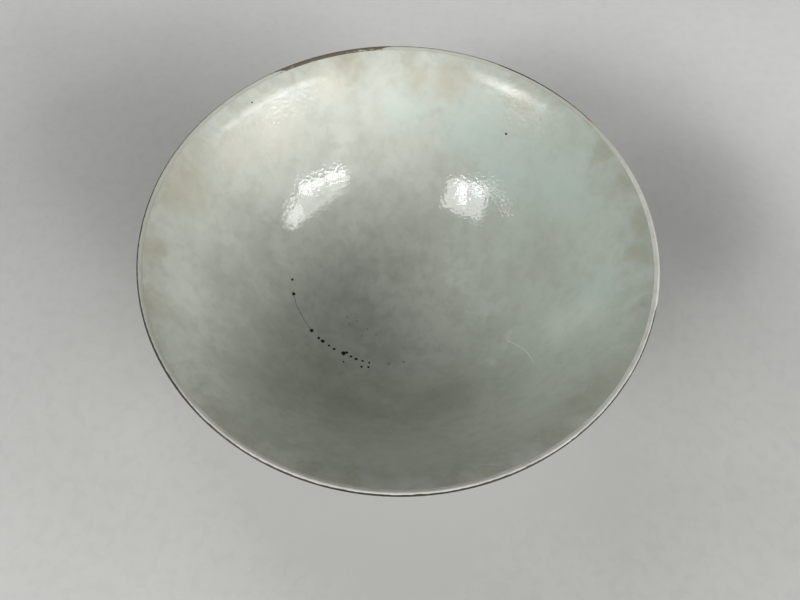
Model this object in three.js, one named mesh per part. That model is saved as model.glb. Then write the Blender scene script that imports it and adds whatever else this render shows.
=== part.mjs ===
// A deep porcelain bowl with a rounded floor, a straight rising wall and a flared lip, on a turned foot. It
// has a clear pale glaze inside, outside and under the base, a bare standing edge, and a thin iron-brown
// dressing round its lip. Every piece is a body of revolution. Millimetres, +Z up, with the origin at the
// middle of the face that the bowl stands on.
import * as THREE from 'three';

// Whole bowl, upwards: the base stands clear of the table, then come the floor and the hollow
const RECESS_HEIGHT = 8; // from the table up to the middle of the base
const FLOOR_THICKNESS = 6; // from the base up to the middle of the floor
const BOWL_DEPTH = 73; // from the middle of the floor up to the top of the lip
const LIP_RADIUS = 100; // to the outermost edge of the lip
const LIP_THICKNESS = 1.8; // of the whole wall where it ends in the round lip
const LIP_SLOPE = 38; // of the flared lip, in degrees from the horizontal

// Wall. A pull is the length over which an end of a curve keeps its direction.
const WALL_SLOPE = 57; // of the wall below the flare, in degrees from the horizontal
const FLOOR_PULL = 55; // how far the level middle of the floor reaches
const WALL_PULL = 45; // how far the wall runs straight down from the flare
const FLARE_PULL = 4.5; // for both ends of the bend from wall to lip
const FLOOR_LEVEL_THICKNESS = 9.5; // what the wall thickens to, where it would reach the level of the floor
const THINNING = 2; // power by which the wall thins from there up to the lip

// Foot
const FOOT_RADIUS = 40; // outside, where it meets the wall
const FOOT_WALL = 6; // thickness of the foot where it leaves the base
const FOOT_FILLET = 4; // rounding of the corner between foot and wall
const FOOT_TAPER = 0.8; // how much each side draws in towards the table
const FOOT_BEVEL = 0.9; // bevel on both edges of the standing face
const FOOT_JOINT_HEIGHT = 5.5; // where the foot is luted to the body
const RECESS_RISE = 1.2; // how much higher the base is beside the foot
const RECESS_FILLET = 2; // rounding between the base and the foot

// Coats
const GLAZE_THICKNESS = 0.4;
const GLAZE_STOP = 2.4; // height above the table at which the glaze was wiped off the foot
const COAT_CLEARANCE = 0.05; // between a coat and the clay below it
const DRESSING_LENGTH = 0.9; // length of the lip that the brown dressing caps, along the wall

// Fineness
const SEGMENTS = 64;
const WALL_STEPS = 16;
const FLARE_STEPS = 4;
const CORNER_STEPS = 3;

const point = (radius, height) => new THREE.Vector2(radius, height);

/** A unit direction in the section, at an angle up from the horizontal. */
const direction = (angle) => point(Math.cos(angle), Math.sin(angle));

/** The point at a distance from another, in a direction. */
const along = (from, way, distance) => from.clone().addScaledVector(way, distance);

/** The outline moved sideways by a distance for each point, to the right of its run if above zero. */
function offset(outline, distanceAt) {
  return outline.map((here, index) => {
    const mirror = (other) => point(-other.x, other.y);
    const before = outline[index - 1] ?? (here.x === 0 ? mirror(outline[1]) : here);
    const after = outline[index + 1] ?? here;
    const into = here.clone().sub(before).normalize();
    const out = after.clone().sub(here).normalize();
    const run = into.clone().add(out).normalize();
    const side = point(run.y, -run.x);
    const straightness = Math.max(side.dot(point(into.y, -into.x)), side.dot(point(out.y, -out.x)));
    return along(here, side, distanceAt(here) / straightness);
  });
}

/** A closed ring or disc turned about the Z axis from its section, whatever way round that is listed. */
function turned(name, section, material) {
  const closed = section[0].x === 0 ? section : [...section, section[0]];
  const area = THREE.ShapeUtils.area(section);
  const profile = area > 0 ? closed : [...closed].reverse();
  const mesh = new THREE.Mesh(new THREE.LatheGeometry(profile, SEGMENTS), material);
  mesh.name = name;
  mesh.rotation.x = Math.PI / 2;
  return mesh;
}

const finish = (color, roughness) => new THREE.MeshStandardMaterial({ color, roughness, metalness: 0 });

// The round lip: its middle, and the ends of the inside and outside surfaces of the wall beside it
const quarterTurn = Math.PI / 2;
const lipAngle = THREE.MathUtils.degToRad(LIP_SLOPE);
const upLip = direction(lipAngle);
const acrossLip = direction(lipAngle - quarterTurn);
const lipReach = LIP_THICKNESS / 2;
const floorMiddle = point(0, RECESS_HEIGHT + FLOOR_THICKNESS);
const lipMiddle = point(LIP_RADIUS - lipReach, floorMiddle.y + BOWL_DEPTH - lipReach);
const dressingStart = along(lipMiddle, upLip, -DRESSING_LENGTH);
const insideEnd = along(dressingStart, acrossLip, -lipReach);
const outsideEnd = along(dressingStart, acrossLip, lipReach);

// The inside surface, from the middle of the floor up the wall and out over the flare to the lip
const upWall = direction(THREE.MathUtils.degToRad(WALL_SLOPE));
const flareCorner = along(insideEnd, upLip, -FLARE_PULL);
const wallTop = along(flareCorner, upWall, -FLARE_PULL);
const wallCurve = new THREE.CubicBezierCurve(
  floorMiddle,
  along(floorMiddle, direction(0), FLOOR_PULL),
  along(wallTop, upWall, -WALL_PULL),
  wallTop,
);
const flareCurve = new THREE.QuadraticBezierCurve(wallTop, flareCorner, insideEnd);
const inside = [...wallCurve.getPoints(WALL_STEPS), ...flareCurve.getPoints(FLARE_STEPS).slice(1)];

/** How thick the whole wall is across from a point of its inside. */
function thicknessAt(place) {
  const climb = (place.y - floorMiddle.y) / (insideEnd.y - floorMiddle.y);
  return LIP_THICKNESS + (FLOOR_LEVEL_THICKNESS - LIP_THICKNESS) * (1 - climb) ** THINNING;
}

// The outside surface, from the lip down the wall, round the corner and down the foot to the glaze's stop
const outsideWall = offset(inside, thicknessAt)
  .slice(0, -1)
  .filter((place) => place.x > FOOT_RADIUS + FOOT_FILLET)
  .concat(outsideEnd)
  .reverse();
const [wallAbove, wallFoot] = outsideWall.slice(-2);
const wallRun = wallFoot.clone().sub(wallAbove).normalize();
const footCorner = along(wallFoot, wallRun, (FOOT_RADIUS - wallFoot.x) / wallRun.x);
const outsideCorner = new THREE.QuadraticBezierCurve(
  wallFoot,
  footCorner,
  along(footCorner, direction(-quarterTurn), FOOT_FILLET),
).getPoints(CORNER_STEPS).slice(1);
const outsideAt = (height) => FOOT_RADIUS - FOOT_TAPER * (1 - height / FOOT_JOINT_HEIGHT);
const outsideToJoint = [...outsideWall, ...outsideCorner, point(FOOT_RADIUS, FOOT_JOINT_HEIGHT)];
const outside = [...outsideToJoint, point(outsideAt(GLAZE_STOP), GLAZE_STOP)];

// The underside of the base, from its middle out to the foot and down inside it to where the glaze stops
const footInside = FOOT_RADIUS - FOOT_WALL;
const recessCorner = point(footInside, RECESS_HEIGHT + RECESS_RISE);
const baseEdge = point(footInside - RECESS_FILLET, RECESS_HEIGHT + RECESS_RISE);
const insideAt = (height) => footInside + FOOT_TAPER * (1 - height / FOOT_JOINT_HEIGHT);
const base = new THREE.QuadraticBezierCurve(
  point(0, RECESS_HEIGHT),
  point(footInside / 2, RECESS_HEIGHT),
  baseEdge,
).getPoints(CORNER_STEPS);
const recessCornerArc = new THREE.QuadraticBezierCurve(
  baseEdge,
  recessCorner,
  point(footInside, RECESS_HEIGHT + RECESS_RISE - RECESS_FILLET),
).getPoints(CORNER_STEPS).slice(1);
const recessToJoint = [...base, ...recessCornerArc, point(footInside, FOOT_JOINT_HEIGHT)];
const recess = [...recessToJoint, point(insideAt(GLAZE_STOP), GLAZE_STOP)];

// How deep the clay lies below the face of a coat
const bed = GLAZE_THICKNESS + COAT_CLEARANCE;

const porcelain = finish(0xe9e5dc, 0.75);
const biscuit = finish(0xd9c8ae, 0.85);
const clearGlaze = finish(0xdfe2d8, 0.12);
const ironDressing = finish(0x4a3628, 0.4);

/** The clay of the floor and wall, between the coats and above the joint with the foot. */
function porcelainBody() {
  const below = offset(outside, () => bed).slice(0, outsideToJoint.length);
  const under = offset(recess, () => -bed).slice(0, recessToJoint.length);
  return turned('porcelain_body', [...offset(inside, () => bed), ...below, ...under.reverse()], porcelain);
}

/** The foot below the joint, tapered on both sides, with a bare bevelled standing face. */
function footRing() {
  const outerTop = offset(outside, () => bed)[outsideToJoint.length - 1];
  const innerTop = offset(recess, () => -bed)[recessToJoint.length - 1];
  const outerFoot = outsideAt(FOOT_BEVEL) - bed;
  const innerFoot = insideAt(FOOT_BEVEL) + bed;
  return turned('foot_ring', [
    outerTop,
    point(outerFoot, FOOT_BEVEL),
    point(outerFoot - FOOT_BEVEL, 0),
    point(innerFoot + FOOT_BEVEL, 0),
    point(innerFoot, FOOT_BEVEL),
    innerTop,
  ], biscuit);
}

/** A coat of glaze as thick as GLAZE_THICKNESS, from a surface into the bowl. */
function coat(name, surface, side) {
  const back = offset(surface, () => side * GLAZE_THICKNESS).reverse();
  return turned(name, [...surface, ...back], clearGlaze);
}

/** The dressed lip: a short straight length in line with the wall, then a round bead. */
function lipBand() {
  const [insideTop, outsideTop] = [insideEnd, outsideEnd].map((end) => along(end, upLip, COAT_CLEARANCE));
  const first = lipAngle + quarterTurn;
  const last = lipAngle - quarterTurn;
  const ways = [first, quarterTurn, quarterTurn * 2 / 3, quarterTurn / 3, 0, last / 2, last];
  const bead = ways.map((way) => along(lipMiddle, direction(way), lipReach));
  return turned('lip_band', [insideTop, ...bead, outsideTop], ironDressing);
}

const bowl = new THREE.Group();
bowl.add(
  porcelainBody(),
  footRing(),
  coat('inside_glaze', inside, 1),
  coat('outside_glaze', outside, 1),
  coat('base_glaze', recess, -1),
  lipBand(),
);

export default bowl;
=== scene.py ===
"""A deep porcelain bowl under clear glaze, with a worn iron-brown lip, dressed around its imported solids.

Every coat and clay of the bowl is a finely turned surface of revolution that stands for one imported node.
Lengths are in metres, +Z is up, and the origin is the middle of the face that the bowl stands on.
"""

import logging
import math
from collections.abc import Callable
from dataclasses import dataclass, field
from enum import Enum

import bpy
import numpy as np
from mathutils import Matrix, Vector


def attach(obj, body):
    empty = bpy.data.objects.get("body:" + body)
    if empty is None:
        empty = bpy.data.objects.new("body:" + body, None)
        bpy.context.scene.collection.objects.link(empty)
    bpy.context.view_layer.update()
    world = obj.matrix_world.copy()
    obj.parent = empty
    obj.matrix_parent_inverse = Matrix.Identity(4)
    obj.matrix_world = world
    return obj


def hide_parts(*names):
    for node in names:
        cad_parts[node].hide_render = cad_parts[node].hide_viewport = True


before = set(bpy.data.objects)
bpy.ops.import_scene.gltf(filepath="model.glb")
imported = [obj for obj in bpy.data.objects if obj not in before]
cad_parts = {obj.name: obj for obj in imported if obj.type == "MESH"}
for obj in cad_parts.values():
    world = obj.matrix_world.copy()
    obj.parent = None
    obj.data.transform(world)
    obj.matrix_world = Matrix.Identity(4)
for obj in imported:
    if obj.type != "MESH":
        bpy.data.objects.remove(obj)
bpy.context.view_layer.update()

log = logging.getLogger("bowl")

Section = np.ndarray
Socket = bpy.types.NodeSocket
Sockets = dict[str, Socket]
Value = float | tuple | Socket

MM = 0.001
AXIS = 1e-7
SHARP_ANGLE = math.radians(40)
REFRACTION = 1.5
LEVEL_PART = (1.0, 1.0, 0.0)
MIDDLE_LEVEL = 0.5


# Shape of the bowl


def bezier(places: list[np.ndarray], shares: np.ndarray) -> Section:
    """Points of a Bezier curve: each place counts by its share of the binomial (share + rest) ^ degree.

    Args:
        places: The end points and the control points between them, each (radius, height).
        shares: Shares of the way along, from 0 to 1.

    Returns:
        One (radius, height) row for each share.
    """
    degree = len(places) - 1
    weights = [math.comb(degree, k) * (1 - shares) ** (degree - k) * shares**k for k in range(degree + 1)]
    return np.stack(weights, 1) @ np.array(places)


def beside(section: Section, distance: float) -> Section:
    """The section moved sideways: each point goes the distance along the normal, to the right of its run.

    Args:
        section: Rows of (radius, height), close together.
        distance: How far to move, in metres; a negative distance goes to the left.

    Returns:
        The moved section, with a point that was on the axis still on it.
    """
    run = np.gradient(section, axis=0)
    run /= np.linalg.norm(run, axis=1)[:, None]
    moved = section + distance * np.stack([run[:, 1], -run[:, 0]], 1)
    for end in (0, -1):
        if section[end, 0] < AXIS:
            moved[end] = section[end] + (0, math.copysign(distance, -distance * run[end, 0]))
    return moved


@dataclass(frozen=True)
class BowlForm:
    """The turned section of the bowl, worked out from its driving dimensions as rows of (radius, height)."""

    recess_height: float = 8 * MM
    floor_thickness: float = 6 * MM
    depth: float = 73 * MM
    lip_radius: float = 100 * MM
    lip_thickness: float = 1.8 * MM
    lip_slope: float = math.radians(38)
    wall_slope: float = math.radians(57)
    floor_pull: float = 55 * MM
    wall_pull: float = 45 * MM
    flare_pull: float = 4.5 * MM
    floor_level_thickness: float = 9.5 * MM
    thinning: float = 2
    foot_radius: float = 40 * MM
    foot_wall: float = 6 * MM
    foot_fillet: float = 4 * MM
    foot_taper: float = 0.8 * MM
    foot_bevel: float = 0.9 * MM
    foot_bevel_pull: float = 0.6
    foot_joint_height: float = 5.5 * MM
    wall_end_radius: float = 44.2 * MM
    recess_rise: float = 1.2 * MM
    recess_fillet: float = 2 * MM
    glaze_thickness: float = 0.4 * MM
    glaze_stop: float = 2.4 * MM
    coat_clearance: float = 0.05 * MM
    dressing_length: float = 0.9 * MM
    wall_stations: int = 97
    flare_stations: int = 19
    lip_stations: int = 25
    corner_stations: int = 13
    drop_stations: int = 5
    lower_stations: int = 9
    base_stations: int = 42
    foot_side_stations: int = 14
    foot_bevel_stations: int = 9
    foot_face_stations: int = 12

    @property
    def up_lip(self) -> np.ndarray:
        """The direction up the wall at the lip."""
        return np.array([math.cos(self.lip_slope), math.sin(self.lip_slope)])

    @property
    def across_lip(self) -> np.ndarray:
        """The direction out through the wall at the lip."""
        return np.array([math.sin(self.lip_slope), -math.cos(self.lip_slope)])

    @property
    def up_wall(self) -> np.ndarray:
        """The direction up the wall below the flare."""
        return np.array([math.cos(self.wall_slope), math.sin(self.wall_slope)])

    @property
    def floor_middle(self) -> np.ndarray:
        """The lowest point of the inside."""
        return np.array([0, self.recess_height + self.floor_thickness])

    @property
    def lip_middle(self) -> np.ndarray:
        """The centre of the round lip."""
        reach = self.lip_thickness / 2
        return np.array([self.lip_radius - reach, self.floor_middle[1] + self.depth - reach])

    def lip_end(self, side: int) -> np.ndarray:
        """Where the wall ends under the dressing, on its inside (side -1) or outside (side 1)."""
        wall_middle = self.lip_middle - self.dressing_length * self.up_lip
        return wall_middle + side * self.lip_thickness / 2 * self.across_lip

    def inside(self) -> Section:
        """The inside surface: a cubic curve up the wall from the level floor, then a quadratic flare.

        Returns:
            The section, from the middle of the floor to the lip.
        """
        end = self.lip_end(-1)
        corner = end - self.flare_pull * self.up_lip
        wall_top = corner - self.flare_pull * self.up_wall
        reach = self.floor_middle + (self.floor_pull, 0)
        wall = bezier([self.floor_middle, reach, wall_top - self.wall_pull * self.up_wall, wall_top],
                      np.linspace(0, 1, self.wall_stations))
        flare = bezier([wall_top, corner, end], np.linspace(0, 1, self.flare_stations)[1:])
        return np.concatenate([wall, flare])

    def outside_wall(self) -> Section:
        """The outside of the wall: the inside moved out by the thickness, which shrinks with height.

        Returns:
            The section, from the axis to the lip.
        """
        inside = self.inside()
        run = np.gradient(inside, axis=0)
        run[-1] = self.up_lip
        run /= np.linalg.norm(run, axis=1)[:, None]
        climb = (inside[:, 1] - self.floor_middle[1]) / (self.lip_end(-1)[1] - self.floor_middle[1])
        swelling = (self.floor_level_thickness - self.lip_thickness) * (1 - climb) ** self.thinning
        return inside + (self.lip_thickness + swelling)[:, None] * np.stack([run[:, 1], -run[:, 0]], 1)

    def foot_side(self, height: float, outer: bool) -> np.ndarray:
        """The point on the foot's outer or inner side: its radius draws in evenly below the joint.

        Args:
            height: The height above the table.
            outer: Whether the point is on the outer side.

        Returns:
            The point.
        """
        draw = self.foot_taper * (1 - height / self.foot_joint_height)
        radius = self.foot_radius - draw if outer else self.foot_radius - self.foot_wall + draw
        return np.array([radius, height])

    def down_foot(self, start: np.ndarray, outer: bool) -> Section:
        """One side of the glazed foot: straight to the joint, then down the taper to the glaze's stop.

        Args:
            start: The point above the joint that the side comes from, which is left out.
            outer: Whether it is the outer side.

        Returns:
            The section.
        """
        joint = self.foot_side(self.foot_joint_height, outer)
        stop = self.foot_side(self.glaze_stop, outer)
        drop = np.linspace(start, joint, self.drop_stations)[1:]
        return np.concatenate([drop, np.linspace(joint, stop, self.lower_stations)[1:]])

    def outside(self) -> Section:
        """The outside surface: down the wall, round a quadratic corner and down the foot.

        Returns:
            The section, from the lip to the glaze's stop.
        """
        wall = self.outside_wall()[::-1]
        wall = wall[wall[:, 0] > self.wall_end_radius]
        run = wall[-1] - wall[-2]
        corner = wall[-1] + run * (self.foot_radius - wall[-1, 0]) / run[0]
        shares = np.linspace(0, 1, self.corner_stations)[1:]
        fillet = bezier([wall[-1], corner, corner - (0, self.foot_fillet)], shares)
        return np.concatenate([wall, fillet, self.down_foot(fillet[-1], True)])

    def recess(self) -> Section:
        """The underside: a slightly domed base, a quadratic corner and the foot's inner side.

        Returns:
            The section, from the axis to the glaze's stop.
        """
        inner = self.foot_radius - self.foot_wall
        top = self.recess_height + self.recess_rise
        edge = np.array([inner - self.recess_fillet, top])
        middle = np.array([0, self.recess_height])
        reach = np.array([inner / 2, self.recess_height])
        base = bezier([middle, reach, edge], np.linspace(0, 1, self.base_stations))
        low = np.array([inner, top - self.recess_fillet])
        corner = bezier([edge, np.array([inner, top]), low], np.linspace(0, 1, self.corner_stations)[1:])
        return np.concatenate([base, corner, self.down_foot(low, False)])

    def coat(self, surface: Section, side: int) -> Section:
        """A closed coat: the surface, and back along the same line moved in by the glaze's thickness."""
        return np.concatenate([surface, beside(surface, side * self.glaze_thickness)[::-1]])

    def lip_section(self) -> Section:
        """The dressing: straight up inside, round the lip by a circle, and down outside.

        Returns:
            The closed section.
        """
        turns = np.linspace(self.lip_slope + math.pi / 2, self.lip_slope - math.pi / 2, self.lip_stations)
        circle = self.lip_middle + self.lip_thickness / 2 * np.stack([np.cos(turns), np.sin(turns)], 1)
        lift = self.coat_clearance * self.up_lip
        return np.concatenate([[self.lip_end(-1) + lift], circle, [self.lip_end(1) + lift]])

    def body_section(self) -> Section:
        """The clay above the foot's joint: inside and outside moved in by a coat and its clearance.

        Returns:
            The closed section.
        """
        bed = self.glaze_thickness + self.coat_clearance
        outside = beside(self.outside(), bed)
        under = beside(self.recess(), -bed)
        above = self.foot_joint_height - AXIS
        parts = [beside(self.inside(), bed)]
        parts += [outside[self.outside()[:, 1] > above], under[self.recess()[:, 1] > above][::-1]]
        return np.concatenate(parts)

    def foot_section(self) -> Section:
        """The foot below the joint: tapered sides, small round bevels and a level standing face.

        Returns:
            The closed section.
        """
        bed = self.glaze_thickness + self.coat_clearance
        rows = []
        for outer, inward in ((True, -1), (False, 1)):
            joint = self.foot_side(self.foot_joint_height, outer) + (inward * bed, 0)
            edge = self.foot_side(self.foot_bevel, outer) + (inward * bed, 0)
            stand = edge + (inward * self.foot_bevel, -self.foot_bevel)
            corner = edge - (0, self.foot_bevel * self.foot_bevel_pull)
            bevel = bezier([edge, corner, stand], np.linspace(0, 1, self.foot_bevel_stations))
            rows.append(np.concatenate([np.linspace(joint, edge, self.foot_side_stations)[:-1], bevel]))
        face = np.linspace(rows[0][-1], rows[1][-1], self.foot_face_stations)[1:-1]
        return np.concatenate([rows[0], face, rows[1][::-1]])


def turned_mesh(name: str, section: Section, segments: int) -> bpy.types.Object:
    """Turns a section about the Z axis: the point at angle a is (radius cos a, radius sin a, height).

    A section that runs clockwise is reversed first, so that the faces point out. One that starts and ends on
    the axis gets a single point at each end, joined to its neighbouring ring by triangles.

    Args:
        name: The piece's name.
        section: Rows of (radius, height); closed on itself, or from the axis back to the axis.
        segments: The number of steps round the axis.

    Returns:
        The object, closed, with faces pointing out, and each point's share of the section as an attribute.
    """
    radius, height = section.T
    area = np.sum(radius * np.roll(height, -1) - np.roll(radius, -1) * height)
    rows = section if area > 0 else section[::-1]
    share = np.linspace(0, 1, len(rows)) if area > 0 else np.linspace(1, 0, len(rows))
    has_poles = rows[0, 0] < AXIS
    rings = rows[1:-1] if has_poles else rows
    turn = np.linspace(0, 2 * math.pi, segments, endpoint=False)
    grid = np.stack(np.broadcast_arrays(
        rings[:, :1] * np.cos(turn), rings[:, :1] * np.sin(turn), rings[:, 1:]), 2)
    index = np.arange(grid.shape[0] * segments).reshape(-1, segments)
    lower = index[:-1] if has_poles else index
    upper = index[1:] if has_poles else np.roll(index, -1, 0)
    quads = np.stack([lower, np.roll(lower, -1, 1), np.roll(upper, -1, 1), upper], 2).reshape(-1, 4)
    points = grid.reshape(-1, 3)
    faces = quads.tolist()
    if has_poles:
        first, last = len(points), len(points) + 1
        points = np.concatenate([points, [[0, 0, rows[0, 1]], [0, 0, rows[-1, 1]]]])
        start, end = index[0], index[-1]
        faces += np.stack([np.full(segments, first), np.roll(start, -1), start], 1).tolist()
        faces += np.stack([np.full(segments, last), end, np.roll(end, -1)], 1).tolist()
    mesh = bpy.data.meshes.new(name)
    mesh.from_pydata(points.tolist(), [], faces)
    mesh.shade_smooth()
    mesh.set_sharp_from_angle(angle=SHARP_ANGLE)
    ring_share = np.repeat(share[1:-1] if has_poles else share, segments)
    if has_poles:
        ring_share = np.append(ring_share, (share[0], share[-1]))
    along = mesh.attributes.new("along_section", "FLOAT", "POINT")
    along.data.foreach_set("value", ring_share.astype(np.float32))
    mesh.update()
    return bpy.data.objects.new(name, mesh)


# Camera


@dataclass(frozen=True)
class Mark:
    """A mark on the inside, by where the photograph shows its middle, and its reach on the bowl."""

    px: float
    py: float
    reach: float


@dataclass(frozen=True)
class Viewpoint:
    """The camera that saw the bowl, solved from the ellipse of its lip.

    Its shifts, its distance and the stretch of a ray count in lip radii, and its clipping in metres.
    """

    focal_px: float = 601
    width_px: float = 800
    height_px: float = 600
    elevation: float = math.radians(63.74)
    roll: float = math.radians(2.21)
    shift_right: float = -0.001
    shift_up: float = 0.275
    distance: float = 2.340
    sensor_width: float = 36
    clip_start: float = 0.01
    clip_end: float = 50
    ray_start: float = 1.2
    ray_end: float = 3.6
    ray_steps: int = 24001

    def axes(self) -> tuple[Vector, Vector, Vector]:
        """The camera's own directions: tilted down by the elevation, then rolled.

        Returns:
            Right, up and forward.
        """
        forward = Vector((0, math.cos(self.elevation), -math.sin(self.elevation)))
        right = Vector((1, 0, 0))
        up = right.cross(forward)
        turned_right = right * math.cos(self.roll) + up * math.sin(self.roll)
        turned_up = up * math.cos(self.roll) - right * math.sin(self.roll)
        return turned_right, turned_up, forward

    def eye(self, form: BowlForm) -> Vector:
        """Where the camera stands: back from the middle of the lip along its own directions.

        Args:
            form: The bowl's section.

        Returns:
            The point, in metres.
        """
        right, up, forward = self.axes()
        back = right * self.shift_right + up * self.shift_up + forward * self.distance
        return Vector((0, 0, form.lip_middle[1])) - back * form.lip_radius

    def place(self, form: BowlForm) -> None:
        """Adds the camera and makes it the scene's own.

        Args:
            form: The bowl's section.
        """
        right, up, forward = self.axes()
        data = bpy.data.cameras.new("camera")
        data.sensor_width = self.sensor_width
        data.lens = self.focal_px / self.width_px * self.sensor_width
        data.clip_start = self.clip_start
        data.clip_end = self.clip_end
        camera = bpy.data.objects.new("camera", data)
        matrix = Matrix((right, up, -forward)).transposed().to_4x4()
        matrix.translation = self.eye(form)
        camera.matrix_world = matrix
        bpy.context.scene.collection.objects.link(camera)
        bpy.context.scene.camera = camera

    def on_inside(self, form: BowlForm, px: float, py: float) -> tuple[float, float, float]:
        """Where a pixel's ray first meets the inside: the first of many steps that lies below the surface.

        Args:
            form: The bowl's section.
            px: The pixel's place from the left.
            py: The pixel's place from the top.

        Returns:
            The point, in metres.
        """
        right, up, forward = self.axes()
        aside = right * (px - self.width_px / 2) / self.focal_px
        ray = np.array((forward + aside - up * (py - self.height_px / 2) / self.focal_px).normalized())
        steps = np.linspace(self.ray_start, self.ray_end, self.ray_steps) * form.lip_radius
        path = np.array(self.eye(form)) + steps[:, None] * ray
        section = form.inside()
        radius = np.hypot(path[:, 0], path[:, 1])
        below = (radius < section[-1, 0]) & (path[:, 2] < np.interp(radius, section[:, 0], section[:, 1]))
        return tuple(float(c) for c in path[int(np.argmax(below))])


# Nodes


def paint(red: int, green: int, blue: int) -> tuple[float, float, float, float]:
    """A colour written in display values, as the linear colour that a shader takes.

    Each value's share of 255 goes back through the display's curve: a straight line for the darkest shares
    and a power of 2.4 for the others.

    Args:
        red: 0 to 255.
        green: 0 to 255.
        blue: 0 to 255.

    Returns:
        Linear red, green, blue and an alpha of 1.
    """
    shares = [part / 255 for part in (red, green, blue)]
    return (*[s / 12.92 if s <= 0.04045 else ((s + 0.055) / 1.055) ** 2.4 for s in shares], 1.0)


class Recipe:
    """Puts nodes into one material's tree or one group's, and joins them."""

    def __init__(self, tree: bpy.types.NodeTree) -> None:
        """Starts on a tree."""
        self.tree = tree

    def feed(self, socket: Socket, value: Value) -> None:
        """Joins a socket to another, or sets its own value.

        Args:
            socket: The input.
            value: The output to join to it, or its constant.
        """
        if isinstance(value, Socket):
            self.tree.links.new(value, socket)
        else:
            socket.default_value = value

    def node(self, kind: str, feeds: dict[str | int, Value] | None = None,
             **settings: str) -> bpy.types.Node:
        """Adds a node.

        Args:
            kind: Its type, without the leading "ShaderNode".
            feeds: What its input sockets take, by name or number.
            **settings: Its own properties.

        Returns:
            The node.
        """
        node = self.tree.nodes.new("ShaderNode" + kind)
        for name, value in settings.items():
            setattr(node, name, value)
        for key, value in (feeds or {}).items():
            self.feed(node.inputs[key], value)
        return node

    def sum(self, operation: str, *values: Value) -> Socket:
        """The result of a Math node on the values."""
        return self.node("Math", dict(enumerate(values)), operation=operation).outputs[0]

    def vector(self, operation: str, *values: Value, scale: Value | None = None) -> Socket:
        """The result of a Vector Math node.

        Args:
            operation: What it does.
            *values: Its vectors.
            scale: Its factor, where it has one.

        Returns:
            The number or the vector that it puts out.
        """
        feeds: dict[str | int, Value] = dict(enumerate(values))
        if scale is not None:
            feeds["Scale"] = scale
        node = self.node("VectorMath", feeds, operation=operation)
        scalar = operation in ("DISTANCE", "DOT_PRODUCT", "LENGTH")
        return node.outputs["Value" if scalar else "Vector"]

    def ease(self, value: Value, low: Value, high: Value, start: Value = 0.0, end: Value = 1.0) -> Socket:
        """A smooth step: start where the value is at low, end where it is at high."""
        feeds = {"Value": value, "From Min": low, "From Max": high, "To Min": start, "To Max": end}
        return self.node("MapRange", feeds, interpolation_type="SMOOTHSTEP").outputs[0]

    def between(self, share: Value, start: Value, end: Value) -> Socket:
        """From start to end, smoothly, as a share goes from 0 to 1."""
        return self.ease(share, 0.0, 1.0, start, end)

    def mix(self, share: Value, first: Value, second: Value) -> Socket:
        """One colour mixed into another by a share."""
        return self.node("Mix", {0: share, 6: first, 7: second}, data_type="RGBA").outputs[2]

    def noise(self, where: Value, size: Value, detail: float = 2, rough: float = 0.5,
              bend: float = 0.0) -> Socket:
        """Noise from 0 to 1.

        Args:
            where: The coordinates.
            size: About how wide a lump is.
            detail: How many finer layers lie on the lumps.
            rough: How strong the finer layers are.
            bend: How far the lumps are pushed about.

        Returns:
            The noise.
        """
        scale = self.sum("DIVIDE", 1.0, size) if isinstance(size, Socket) else 1 / size
        feeds = {"Vector": where, "Scale": scale, "Detail": detail, "Roughness": rough, "Distortion": bend}
        return self.node("TexNoise", feeds).outputs[0]

    def use(self, group: bpy.types.NodeTree, feeds: dict[str, Value]) -> Socket:
        """Places a group with its values.

        Args:
            group: The group.
            feeds: What its inputs take, by name.

        Returns:
            Its first output.
        """
        node = self.tree.nodes.new("ShaderNodeGroup")
        node.node_tree = group
        for name, value in feeds.items():
            self.feed(node.inputs[name], value)
        return node.outputs[0]


def build_group(name: str, plan: dict[str, tuple[str, Value]], output: str,
                fill: Callable[[Recipe, Sockets], Socket]) -> bpy.types.NodeTree:
    """Builds a node group with one output.

    Args:
        name: The group's name.
        plan: For each input, its kind ("Float" or "Vector") and its value at the start.
        output: The name of the output, a float.
        fill: Adds the nodes, from the recipe and the input sockets, and returns the result's socket.

    Returns:
        The group.
    """
    tree = bpy.data.node_groups.new(name, "ShaderNodeTree")
    for key, (kind, start) in plan.items():
        socket = tree.interface.new_socket(key, in_out="INPUT", socket_type="NodeSocket" + kind)
        socket.default_value = start
    tree.interface.new_socket(output, in_out="OUTPUT", socket_type="NodeSocketFloat")
    recipe = Recipe(tree)
    entry = tree.nodes.new("NodeGroupInput")
    result = tree.nodes.new("NodeGroupOutput")
    recipe.feed(result.inputs[0], fill(recipe, {key: entry.outputs[key] for key in plan}))
    return tree


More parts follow.
